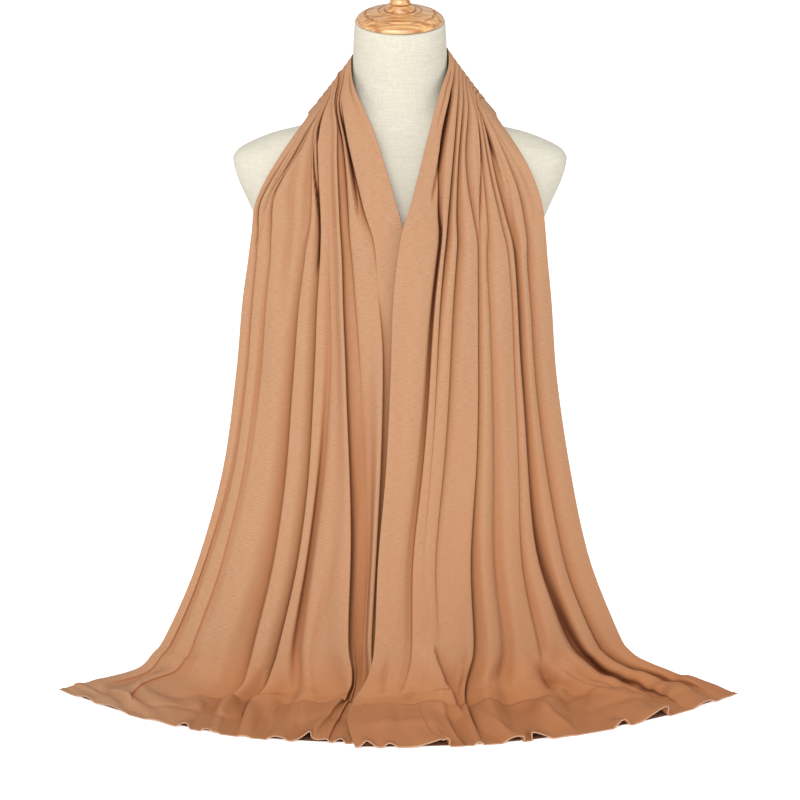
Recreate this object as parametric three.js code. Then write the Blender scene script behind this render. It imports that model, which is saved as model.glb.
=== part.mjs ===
// A jersey headscarf hung round the neck of a limbless dress form, in millimetres, +Z up.
// The front of the form faces -Y. The origin is under the middle of the form, on the surface
// that the form stands on and that both scarf ends trail onto.
import * as THREE from 'three';

const WALL = 1.2;              // modelled thickness of the jersey
const SEAM_GAP = 0.3;          // gap where two stretches of the scarf meet
const FLOOR_GAP = 0.1;         // air under the cloth that lies on the surface
const FORM_SEGMENTS = 36;      // facets round the torso
const WOOD_SEGMENTS = 24;      // facets round the turned pieces
const BAND_STEPS = 8;          // rows of facets round the back of the neck
const BAND_LENGTH = 150;       // of the band's shorter edge, from shoulder to shoulder
const ROW_STEP = 0.05;         // share of a level over which the cloth's direction is taken
const NECK_TILT = THREE.MathUtils.degToRad(15);   // the neck's top leans forward

// The torso, one row for each level from its flat underside to the rim of the neck. Width is
// half the width, front and back are the depths from the middle plane, square is the power of
// the oval (2 is an ellipse) and tilt is the share of the neck's lean that the level has.
const TORSO = [
  // height, width, front, back, square, tilt
  [0, 154, 92, 96, 2.4, 0],
  [14, 163, 98, 102, 2.4, 0],
  [90, 167, 101, 107, 2.4, 0],
  [180, 148, 92, 97, 2.3, 0],
  [270, 121, 80, 84, 2.2, 0],
  [340, 122, 86, 86, 2.2, 0],
  [400, 134, 97, 94, 2.2, 0],
  [455, 146, 103, 100, 2.2, 0],
  [500, 154, 97, 103, 2.2, 0],
  [540, 168, 85, 104, 2.4, 0],
  [582, 187, 69, 98, 2.5, 0],
  [604, 193, 59, 92, 2.6, 0],
  [612, 191.5, 55, 89, 2.6, 0],
  [621, 182, 52, 86, 2.5, 0],
  [635, 150, 48, 80, 2.3, 0],
  [645, 112, 46, 75, 2.2, 0],
  [660, 76, 44, 68, 2, 0.08],
  [682, 59, 44, 61, 2, 0.24],
  [708, 54.8, 47, 56, 2, 0.48],
  [742, 53, 53, 50, 2, 0.86],
  [763.4, 51.6, 55, 47, 2, 1],
];
const NECK_RIM = { height: 763.4, middle: 4 };

// Turned profiles of the wood: radius and height above the rim of the neck.
const CAP_PROFILE = [
  [0, 0.3], [49.4, 0.3], [50.5, 1], [50.4, 2.6], [49, 4.8], [45.8, 7.2], [42.2, 9],
  [40.6, 9.7], [39.7, 8.3], [38.7, 9.9], [36, 11], [31, 12.2], [26.4, 13.2], [25.3, 13.5],
  [24.5, 12.2], [23.6, 13.7], [20, 14.2], [18.2, 14.1], [17, 13.2], [17.4, 14.8], [16.8, 16.6],
  [15.2, 18.6], [13.4, 20.2], [12.2, 21], [0, 21],
];
const FINIAL_PROFILE = [
  [0, 21.3], [11.2, 21.3], [12, 22.2], [12, 23.4], [10.8, 24.8], [9.2, 27], [8.2, 30.4],
  [9.6, 33.4], [14.6, 37.4], [18.4, 43.4], [19.4, 50], [17.6, 57], [12.8, 62.6], [6.4, 65.8],
  [0, 66.6],
];

// Both ends of the scarf, one row for each level from the shoulder to the hem. The inner edge
// is the one at the V, the outer edge is the one at the arm. Bow is the power of the curve
// between them: 1 is straight, more keeps the middle of the front full. Sag is how far the
// cloth between two folds lies down: 0 hangs, 1 lies on the surface.
const LEVELS = ['shoulder', 'ridge', 'collar', 'yoke', 'chest', 'vee', 'bust', 'under', 'waist',
  'hip', 'low', 'ankle', 'bend', 'lay', 'sole', 'hem'];
const LEFT_ROWS = [
  // innerX, innerY, innerZ, outerX, outerY, outerZ, bow, sag
  [-54.8, 8, 724, -115, 16, 656, 1, 0],
  [-55.8, -14, 707, -120, -24, 651, 1, 0],
  [-50, -36, 686, -139, -58, 610, 1, 0],
  [-29, -65, 642, -162, -64, 566, 1.1, 0],
  [-6, -99, 571, -168, -59, 528, 1.7, 0],
  [5, -112, 528, -173, -58, 495, 1.8, 0],
  [8, -128, 463, -180, -58, 446, 2, 0],
  [8, -133, 374, -188, -60, 365, 2, 0],
  [4, -137, 272, -205, -62, 253, 2, 0],
  [-2, -142, 168, -236, -64, 144, 2, 0],
  [-8, -148, 76, -275, -66, 53, 2, 0],
  [-10, -153, 42, -291, -70, 34, 2, 0.2],
  [-12, -166, 19, -308, -78, 20, 2, 0.5],
  [-13, -198, 10, -345, -90, 10.5, 2, 0.8],
  [-14, -242, 9, -375, -98, 9, 2, 0.85],
  [-15, -287, 9, -397, -104, 7, 2, 0.85],
];
const RIGHT_ROWS = [
  // innerX, innerY, innerZ, outerX, outerY, outerZ, bow, sag
  [54.4, 8, 732, 117, 16, 657, 1, 0],
  [55.8, -14, 713, 123, -24, 651, 1, 0],
  [47, -38, 690, 142, -58, 609, 1, 0],
  [33, -67, 642, 159, -64, 566, 1.1, 0],
  [14, -104, 572, 165, -59, 528, 1.7, 0],
  [1, -122, 530, 168, -58, 495, 1.8, 0],
  [-7, -138, 465, 173, -58, 446, 2, 0],
  [-10, -144, 376, 180, -60, 362, 2, 0],
  [-15, -149, 274, 197, -62, 253, 2, 0],
  [-24, -154, 170, 221, -64, 146, 2, 0],
  [-28, -160, 78, 256, -66, 58, 2, 0],
  [-34, -165, 44, 270, -68, 38, 2, 0.2],
  [-46, -176, 22, 292, -72, 25, 2, 0.4],
  [-56, -202, 12, 326, -78, 13, 2, 0.7],
  [-57, -242, 11, 361, -98, 10.5, 2, 0.8],
  [-48, -288, 10.5, 391, -118, 7, 2, 0.85],
];
// Rows of the band round the back of the neck, between the two shoulder rows.
const NAPE_ROWS = [
  // innerX, innerY, innerZ, outerX, outerY, outerZ, bow, sag
  [-43.5, 46, 727, -76, 66, 656, 1, 0],
  [0, 62, 729, 0, 86, 655, 1, 0],
  [43.5, 46, 732, 76, 66, 656, 1, 0],
];

// Folds from the inner edge outwards. Each one is the line where a face of cloth ends and turns
// back behind itself. Edge is its place as a share of the row's width at the levels of
// EDGE_LEVELS. Depth is how far the cloth turns back, and lap how far the valley lies under the
// face (below 0 it lies open), both in millimetres at the levels of DEPTH_LEVELS.
const EDGE_LEVELS = ['collar', 'yoke', 'vee', 'under', 'hip', 'bend', 'hem'];
const DEPTH_LEVELS = ['yoke', 'vee', 'waist', 'low', 'lay', 'hem'];
const LEFT_FOLDS = [
  { edge: [0.18, 0.225, 0.205, 0.145, 0.09, 0.08, 0.08],
    depth: [8, 12, 11, 9, 5, 4], lap: [3, 8, 6, 2, 0, 0] },
  { edge: [0.245, 0.28, 0.335, 0.26, 0.15, 0.13, 0.13],
    depth: [7, 7, 2, 2, 2, 2], lap: [3, 3, 0, 0, 0, 0] },
  { edge: [0.31, 0.345, 0.411, 0.346, 0.22, 0.18, 0.2],
    depth: [8, 11, 14, 13, 7, 6], lap: [3, 6, 9, 8, 2, 0] },
  { edge: [0.385, 0.415, 0.475, 0.43, 0.41, 0.3, 0.27],
    depth: [6, 3, 6, 8, 6, 6], lap: [2, 0, -5, -5, -5, -4] },
  { edge: [0.46, 0.49, 0.54, 0.535, 0.486, 0.44, 0.39],
    depth: [8, 12, 13, 12, 7, 7], lap: [3, 6, 7, 5, 2, 0] },
  { edge: [0.56, 0.575, 0.635, 0.661, 0.601, 0.53, 0.49],
    depth: [7, 8, 10, 11, 7, 7], lap: [3, 2, 4, 3, 0, -2] },
  { edge: [0.68, 0.75, 0.845, 0.845, 0.82, 0.74, 0.66],
    depth: [7, 7, 9, 11, 7, 6], lap: [3, 0, -3, -4, -5, -4] },
  { edge: [0.84, 0.89, 0.93, 0.925, 0.915, 0.88, 0.83],
    depth: [6, 5, 4, 6, 6, 5], lap: [2, 1, 0, -2, -4, -3] },
];
const RIGHT_FOLDS = [
  { edge: [0.1, 0.11, 0.22, 0.19, 0.13, 0.12, 0.12],
    depth: [7, 7, 7, 8, 7, 7], lap: [3, -3, -6, -6, -4, -3] },
  { edge: [0.19, 0.19, 0.3, 0.27, 0.2, 0.18, 0.17],
    depth: [7, 7, 2, 2, 3, 3], lap: [3, 3, 0, 0, 0, 0] },
  { edge: [0.27, 0.255, 0.385, 0.35, 0.266, 0.25, 0.23],
    depth: [7, 9, 7, 8, 6, 6], lap: [3, 4, -4, -4, -4, -3] },
  { edge: [0.35, 0.335, 0.515, 0.52, 0.43, 0.365, 0.31],
    depth: [8, 12, 12, 13, 9, 8], lap: [3, 6, 6, 6, 2, 0] },
  { edge: [0.43, 0.43, 0.595, 0.6, 0.53, 0.45, 0.39],
    depth: [6, 5, 6, 8, 7, 6], lap: [2, -2, -4, -5, -5, -4] },
  { edge: [0.51, 0.51, 0.7, 0.71, 0.655, 0.61, 0.54],
    depth: [6, 7, 7, 9, 8, 7], lap: [3, 2, 0, -3, -4, -3] },
  { edge: [0.6, 0.6, 0.785, 0.79, 0.775, 0.8, 0.76],
    depth: [8, 14, 14, 14, 9, 7], lap: [3, 7, 9, 7, 3, 0] },
  { edge: [0.74, 0.76, 0.885, 0.88, 0.885, 0.92, 0.9],
    depth: [7, 9, 9, 9, 6, 5], lap: [3, 3, 2, 0, -2, -2] },
];
// The section of one fold. Crown and shoulder are places on the face, as shares of its width
// back from its edge. Tip is the depth of the edge itself, and foot that of the next face where
// it starts, as shares of the fold's depth. Rise is how much of the next face the foot takes up.
const FOLD = { crown: 0.5, shoulder: 0.14, tip: 0.22, foot: 0.92, rise: 0.16 };
const SHOULDER_SAG = 0.25;     // how much of the crown's sag the shoulder takes
const FREE_EDGE_DEPTH = 0.5;   // the scarf's inner edge, behind the front of its row
const FREE_EDGE_SAG = 6;       // how far its outer edge lies down on the surface
// Where the scarf bends round the neck its folds are even and shallow.
const NECK_DEPTH = 5;
const NECK_LAP = 2;
// The right end lies over the left one below the V, so the left end's inner part is tucked
// behind it, by so many millimetres at the levels of TUCK_LEVELS, over a share of its width.
const TUCK_LEVELS = ['shoulder', 'yoke', 'vee', 'waist', 'low', 'lay', 'hem'];
const LEFT_TUCK = [0, 0, 5, 9, 9, 9, 9];
const RIGHT_TUCK = [0, 0, 0, 0, 0, 0, 0];
const TUCK_SPAN = 0.2;

// Smooth curve through values at rising places, of any number of components each.
function through(places, values, at) {
  let k = 0;
  while (k < places.length - 2 && at > places[k + 1]) k += 1;
  const slope = (i) => {
    const lo = Math.max(i - 1, 0);
    const hi = Math.min(i + 1, places.length - 1);
    return values[hi].map((v, c) => (v - values[lo][c]) / (places[hi] - places[lo]));
  };
  const span = places[k + 1] - places[k];
  const u = (at - places[k]) / span;
  const [from, to] = [slope(k), slope(k + 1)];
  const ease = 3 * u ** 2 - 2 * u ** 3;
  const leaving = span * (u ** 3 - 2 * u ** 2 + u);
  const arriving = span * (u ** 3 - u ** 2);
  return values[k].map((v, c) => v + ease * (values[k + 1][c] - v) + leaving * from[c] + arriving * to[c]);
}

// A closed body from a grid of points: the grid moved out by half the wall on both sides,
// with its four edges closed. Inward holds the direction of the back side at each point.
function shellGeometry(grid, inward) {
  const rows = grid.length;
  const cols = grid[0].length;
  const positions = [];
  for (const side of [-1, 1]) {
    for (let i = 0; i < rows; i += 1) {
      for (let j = 0; j < cols; j += 1) {
        const p = grid[i][j].clone().addScaledVector(inward[i][j], side * WALL / 2);
        positions.push(p.x, p.y, p.z);
      }
    }
  }
  const front = (i, j) => i * cols + j;
  const back = (i, j) => rows * cols + i * cols + j;
  const faces = [];
  const quad = (a, b, c, d) => faces.push(a, b, c, a, c, d);
  for (let i = 0; i < rows - 1; i += 1) {
    for (let j = 0; j < cols - 1; j += 1) {
      quad(front(i, j), front(i + 1, j), front(i + 1, j + 1), front(i, j + 1));
      quad(back(i, j), back(i, j + 1), back(i + 1, j + 1), back(i + 1, j));
    }
    quad(front(i, 0), back(i, 0), back(i + 1, 0), front(i + 1, 0));
    quad(front(i, cols - 1), front(i + 1, cols - 1), back(i + 1, cols - 1), back(i, cols - 1));
  }
  for (let j = 0; j < cols - 1; j += 1) {
    quad(front(0, j), front(0, j + 1), back(0, j + 1), back(0, j));
    quad(front(rows - 1, j), back(rows - 1, j), back(rows - 1, j + 1), front(rows - 1, j + 1));
  }
  const geometry = new THREE.BufferGeometry();
  geometry.setAttribute('position', new THREE.Float32BufferAttribute(positions, 3));
  geometry.setIndex(faces);
  geometry.computeVertexNormals();
  return geometry;
}

// Turns the faces round when the body would be inside out.
function facingOut(geometry) {
  const p = geometry.attributes.position;
  const index = geometry.index;
  const [a, b, c] = [new THREE.Vector3(), new THREE.Vector3(), new THREE.Vector3()];
  let volume = 0;
  for (let k = 0; k < index.count; k += 3) {
    a.fromBufferAttribute(p, index.getX(k));
    b.fromBufferAttribute(p, index.getX(k + 1));
    c.fromBufferAttribute(p, index.getX(k + 2));
    volume += a.dot(b.cross(c));
  }
  if (volume < 0) {
    const turned = Array.from(index.array);
    for (let k = 0; k < turned.length; k += 3) {
      [turned[k + 1], turned[k + 2]] = [turned[k + 2], turned[k + 1]];
    }
    geometry.setIndex(turned);
    geometry.computeVertexNormals();
  }
  return geometry;
}

// The smooth front of a stretch of scarf at share q of its row and at place t down its rows.
function front(stretch, q, t) {
  const [ix, iy, iz, ox, oy, oz, bow] = through(stretch.places, stretch.rows, t);
  return new THREE.Vector3(ix + (ox - ix) * q, iy + (oy - iy) * q ** bow, iz + (oz - iz) * q);
}

// The unit direction from the front of the cloth towards the form or the surface below it.
function inwardAt(stretch, q, t) {
  const dq = 0.01;
  const dt = 0.02;
  const first = stretch.places[0];
  const last = stretch.places[stretch.places.length - 1];
  const across = front(stretch, Math.min(q + dq, 1), t).sub(front(stretch, Math.max(q - dq, 0), t));
  const along = front(stretch, q, Math.min(t + dt, last)).sub(front(stretch, q, Math.max(t - dt, first)));
  return across.cross(along).normalize().multiplyScalar(stretch.side);
}

// Control points of one row's folds, each a share of the width and a depth behind the front.
function foldPoints(stretch, t) {
  const row = through(stretch.places, stretch.rows, t);
  const width = Math.hypot(row[3] - row[0], row[4] - row[1], row[5] - row[2]);
  const sag = row[7];
  const folds = stretch.foldsAt(t);
  const points = [[0, FREE_EDGE_DEPTH]];
  let last = 0;
  folds.list.forEach(({ edge, depth, lap }, i) => {
    const next = i + 1 < folds.list.length ? folds.list[i + 1].edge : 1;
    const face = edge - last;
    const under = lap / width;
    points.push([edge - FOLD.crown * face, depth * sag]);
    points.push([edge - FOLD.shoulder * face, depth * sag * SHOULDER_SAG]);
    points.push([edge, FOLD.tip * depth]);
    points.push([edge - under, depth]);
    points.push([Math.max(edge, edge - under) + FOLD.rise * (next - edge), FOLD.foot * depth]);
    last = edge;
  });
  points.push([1 - FOLD.crown * (1 - last), FREE_EDGE_SAG / 2 * sag]);
  points.push([1, FREE_EDGE_SAG * sag]);
  const tuckAt = (q) => folds.tuck * (1 - THREE.MathUtils.smoothstep(q, 0, TUCK_SPAN));
  return points.map(([q, depth]) => [q, depth + tuckAt(q)]);
}

// The smooth curve that control points pull towards themselves, one sample for each of them.
function eased(points) {
  return points.map((p, k) => {
    if (k === 0 || k === points.length - 1) return p;
    return p.map((v, c) => (points[k - 1][c] + 4 * v + points[k + 1][c]) / 6);
  });
}

// The middle of the cloth along one row.
function scarfRow(stretch, t) {
  return eased(foldPoints(stretch, t)).map(([q, depth]) => {
    const point = front(stretch, q, t).addScaledVector(inwardAt(stretch, q, t), depth);
    point.z = Math.max(point.z, WALL / 2 + FLOOR_GAP);
    return point;
  });
}

// The solid of one stretch of scarf, over the places in rowsAt.
function scarfGeometry(stretch, rowsAt) {
  const grid = rowsAt.map((t) => scarfRow(stretch, t));
  const last = stretch.places[stretch.places.length - 1];
  const inward = grid.map((row, i) => {
    const above = scarfRow(stretch, rowsAt[i] - ROW_STEP);
    const below = scarfRow(stretch, Math.min(rowsAt[i] + ROW_STEP, last));
    return row.map((point, j) => {
      if (point.z < WALL) return new THREE.Vector3(0, 0, -1);
      const across = row[Math.min(j + 1, row.length - 1)].clone().sub(row[Math.max(j - 1, 0)]);
      const along = below[j].clone().sub(above[j]);
      return across.cross(along).normalize().multiplyScalar(stretch.side);
    });
  });
  return facingOut(shellGeometry(grid, inward));
}

const levelOf = (name) => LEVELS.indexOf(name);
const NECK_EDGES = LEFT_FOLDS.map((_, i) => (i + 1) / (LEFT_FOLDS.length + 1));

// A scarf end: its rows, with the band's nearest row before them so that the two stretches
// run on smoothly, and a function that gives its folds at any place.
function scarfEnd(rows, napeRow, folds, tuck, side) {
  const places = [-1, ...rows.map((_, i) => i)];
  const edgePlaces = [0, ...EDGE_LEVELS.map(levelOf)];
  const depthPlaces = [0, ...DEPTH_LEVELS.map(levelOf)];
  const at = (levels, values, t) => through(levels, values.map((v) => [v]), Math.max(t, 0))[0];
  const foldsAt = (t) => ({
    tuck: at(TUCK_LEVELS.map(levelOf), tuck, t),
    list: folds.map((fold, i) => ({
      edge: at(edgePlaces, [NECK_EDGES[i], ...fold.edge], t),
      depth: at(depthPlaces, [NECK_DEPTH, ...fold.depth], t),
      lap: at(depthPlaces, [NECK_LAP, ...fold.lap], t),
    })),
  });
  return { places, rows: [napeRow, ...rows], side, foldsAt };
}

// The band round the back of the neck, from the left shoulder to the right one.
function neckBand() {
  const rows = [LEFT_ROWS[1], LEFT_ROWS[0], ...NAPE_ROWS, RIGHT_ROWS[0], RIGHT_ROWS[1]];
  const list = NECK_EDGES.map((edge) => ({ edge, depth: NECK_DEPTH, lap: NECK_LAP }));
  return { places: rows.map((_, i) => i), rows, side: 1, foldsAt: () => ({ tuck: 0, list }) };
}

// The torso: ovals at the levels of TORSO, closed at the underside and at the rim.
function torsoGeometry() {
  const positions = [];
  for (const [height, width, depthFront, depthBack, square, tilt] of TORSO) {
    const middle = (depthBack - depthFront) / 2;
    for (let k = 0; k < FORM_SEGMENTS; k += 1) {
      const angle = 2 * Math.PI * k / FORM_SEGMENTS;
      const [c, s] = [Math.cos(angle), Math.sin(angle)];
      const x = width * Math.sign(c) * Math.abs(c) ** (2 / square);
      const y = (depthFront + depthBack) / 2 * Math.sign(s) * Math.abs(s) ** (2 / square);
      positions.push(x, middle + y, height + y * Math.tan(NECK_TILT * tilt));
    }
  }
  const faces = [];
  const ring = (i, k) => i * FORM_SEGMENTS + (k % FORM_SEGMENTS);
  for (let i = 0; i < TORSO.length - 1; i += 1) {
    for (let k = 0; k < FORM_SEGMENTS; k += 1) {
      faces.push(ring(i, k), ring(i, k + 1), ring(i + 1, k + 1));
      faces.push(ring(i, k), ring(i + 1, k + 1), ring(i + 1, k));
    }
  }
  const top = TORSO.length - 1;
  for (let k = 1; k < FORM_SEGMENTS - 1; k += 1) {
    faces.push(ring(0, 0), ring(0, k + 1), ring(0, k));
    faces.push(ring(top, 0), ring(top, k), ring(top, k + 1));
  }
  const geometry = new THREE.BufferGeometry();
  geometry.setAttribute('position', new THREE.Float32BufferAttribute(positions, 3));
  geometry.setIndex(faces);
  geometry.computeVertexNormals();
  return geometry;
}

// A turned piece: its profile spun round the neck's axis.
function turnedMesh(name, profile, material) {
  const points = profile.map(([radius, height]) => new THREE.Vector2(radius, height));
  const geometry = new THREE.LatheGeometry(points, WOOD_SEGMENTS);
  const mesh = new THREE.Mesh(geometry, material);
  mesh.name = name;
  mesh.rotation.x = Math.PI / 2;
  return mesh;
}

const jersey = new THREE.MeshStandardMaterial({ color: 0xcf9a6b, roughness: 0.82, metalness: 0 });
const linen = new THREE.MeshStandardMaterial({ color: 0xe8e2d0, roughness: 0.9, metalness: 0 });
const wood = new THREE.MeshStandardMaterial({ color: 0xdca562, roughness: 0.3, metalness: 0 });

const part = new THREE.Group();
const leftEnd = scarfEnd(LEFT_ROWS, NAPE_ROWS[0], LEFT_FOLDS, LEFT_TUCK, -1);
const rightEnd = scarfEnd(RIGHT_ROWS, NAPE_ROWS[2], RIGHT_FOLDS, RIGHT_TUCK, 1);

// Rows are close where the cloth bends, over the shoulder and onto the surface, and a whole
// level apart where it hangs.
const endRows = [];
const hangs = (t) => t >= levelOf('chest') && t < levelOf('low');
for (let t = 0; t <= levelOf('hem'); t += hangs(t) ? 1 : 0.5) endRows.push(t);

// In the band the left shoulder is row 1, and the right one follows the rows of the nape.
const bandStart = 1;
const bandEnd = bandStart + NAPE_ROWS.length + 1;
const bandGap = SEAM_GAP / BAND_LENGTH * (bandEnd - bandStart);
const bandRows = [];
for (let k = 0; k <= BAND_STEPS; k += 1) {
  bandRows.push(THREE.MathUtils.lerp(bandStart + bandGap, bandEnd - bandGap, k / BAND_STEPS));
}

for (const [name, stretch, rowsAt] of [
  ['scarf_left_end', leftEnd, endRows],
  ['scarf_right_end', rightEnd, endRows],
  ['scarf_neck_band', neckBand(), bandRows],
]) {
  const mesh = new THREE.Mesh(scarfGeometry(stretch, rowsAt), jersey);
  mesh.name = name;
  part.add(mesh);
}

const torso = new THREE.Mesh(torsoGeometry(), linen);
torso.name = 'form_torso';
part.add(torso);

const neckAxis = new THREE.Group();
neckAxis.position.set(0, -NECK_RIM.middle, NECK_RIM.height);
neckAxis.rotation.x = NECK_TILT;
neckAxis.add(turnedMesh('neck_cap', CAP_PROFILE, wood));
neckAxis.add(turnedMesh('finial', FINIAL_PROFILE, wood));
part.add(neckAxis);

export default part;
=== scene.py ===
"""A jersey headscarf hung round the neck of a limbless dress form.

The scarf is three thin sheets on the forms of the frame's three stretches, finished with an
overlocked edge. The dress form is linen over a padded torso, with a turned wooden cap and finial.
Tables are in millimetres, and everything else is in metres.
"""
import math

import bpy
import numpy as np
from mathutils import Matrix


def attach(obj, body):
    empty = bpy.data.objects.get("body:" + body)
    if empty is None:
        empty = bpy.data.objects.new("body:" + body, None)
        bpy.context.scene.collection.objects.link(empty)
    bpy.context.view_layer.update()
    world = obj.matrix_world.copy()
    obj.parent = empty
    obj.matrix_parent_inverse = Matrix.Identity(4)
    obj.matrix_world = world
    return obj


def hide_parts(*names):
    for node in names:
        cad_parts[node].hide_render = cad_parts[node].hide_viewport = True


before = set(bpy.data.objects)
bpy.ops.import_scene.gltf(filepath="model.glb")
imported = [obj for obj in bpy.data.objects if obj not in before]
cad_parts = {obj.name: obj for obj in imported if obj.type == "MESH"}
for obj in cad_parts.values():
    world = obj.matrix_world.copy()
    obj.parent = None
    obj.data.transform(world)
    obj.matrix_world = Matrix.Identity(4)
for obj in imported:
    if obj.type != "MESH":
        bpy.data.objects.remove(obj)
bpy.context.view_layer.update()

MM = 0.001

# Camera: the photograph looks 12 degrees down at the front from 2.6 m away.
CAMERA_PITCH = math.radians(12)
CAMERA_PLACE = (0, -2.5744, 0.8701)
LENS_MM = 100.446
SENSOR_MM = 36

# Cloth of the one long scarf: its wall and gaps in metres, and the steps of its grid.
JERSEY_WALL = 0.9 * MM
FLOOR_GAP = 0.15 * MM          # air under the cloth that lies on the surface
LYING_FLAT = 1.2 * MM          # how low the cloth's middle is where it lies flat
SPAN_STEPS = 6                 # columns between two control points of a fold
LEVEL_STEPS, FLOOR_STEPS = 6, 11    # rows between two levels that hang, or that lie
NAPE_STEPS = 12                # rows between two rows of the band
NECK_TILT = math.radians(15)   # the neck's top leans forward

# Both ends of the scarf, one row for each level from the shoulder to the hem. The inner edge
# is the one at the V, the outer edge is the one at the arm. Bow is the power of the curve
# between them, and sag is how far the cloth between two folds lies down on the surface.
LEVELS = ["shoulder", "ridge", "collar", "yoke", "chest", "vee", "bust", "under", "waist",
          "hip", "low", "ankle", "bend", "lay", "sole", "hem"]
LEFT_ROWS = [
    # innerX, innerY, innerZ, outerX, outerY, outerZ, bow, sag
    [-54.8, 8, 724, -104, 16, 659, 1, 0],
    [-55.8, -14, 707, -106, -24, 656, 1, 0],
    [-50, -36, 686, -139, -58, 610, 1, 0],
    [-29, -65, 642, -162, -64, 566, 1.1, 0],
    [-6, -99, 571, -168, -59, 528, 1.7, 0],
    [5, -112, 528, -173, -58, 495, 1.8, 0],
    [8, -128, 463, -180, -58, 446, 2, 0],
    [8, -133, 374, -188, -60, 365, 2, 0],
    [4, -137, 272, -205, -62, 253, 2, 0],
    [-2, -142, 168, -236, -64, 144, 2, 0],
    [-8, -148, 76, -275, -66, 53, 2, 0],
    [-10, -155, 40, -291, -70, 33, 2, 0.2],
    [-12, -164, 17, -308, -78, 19, 2, 0.45],
    [-13, -181, 10, -345, -90, 12, 2, 0.7],
    [-14, -230, 7, -375, -98, 10, 2.2, 0.9],
    [-15, -281, 2.5, -397, -104, 5, 2.4, 1.0],
]
RIGHT_ROWS = [
    [54.4, 8, 732, 108, 16, 659, 1, 0],
    [55.8, -14, 713, 112, -24, 654, 1, 0],
    [47, -38, 690, 142, -58, 609, 1, 0],
    [33, -67, 642, 159, -64, 566, 1.1, 0],
    [14, -104, 572, 165, -59, 528, 1.7, 0],
    [1, -122, 530, 168, -58, 495, 1.8, 0],
    [-7, -138, 465, 173, -58, 446, 2, 0],
    [-10, -144, 376, 180, -60, 362, 2, 0],
    [-15, -149, 274, 197, -62, 253, 2, 0],
    [-24, -154, 170, 221, -64, 146, 2, 0],
    [-28, -160, 78, 256, -66, 58, 2, 0],
    [-34, -166, 43, 270, -68, 37, 2, 0.2],
    [-46, -175, 21, 292, -72, 24, 2, 0.4],
    [-56, -192, 13, 326, -78, 15, 2, 0.65],
    [-57, -242, 10, 361, -98, 12, 2.2, 0.9],
    [-48, -294, 2.5, 391, -118, 5, 2.5, 1.0],
]
NAPE_ROWS = [
    [-43.5, 46, 727, -76, 66, 656, 1, 0],
    [0, 62, 729, 0, 86, 655, 1, 0],
    [43.5, 46, 732, 76, 66, 656, 1, 0],
]

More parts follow.
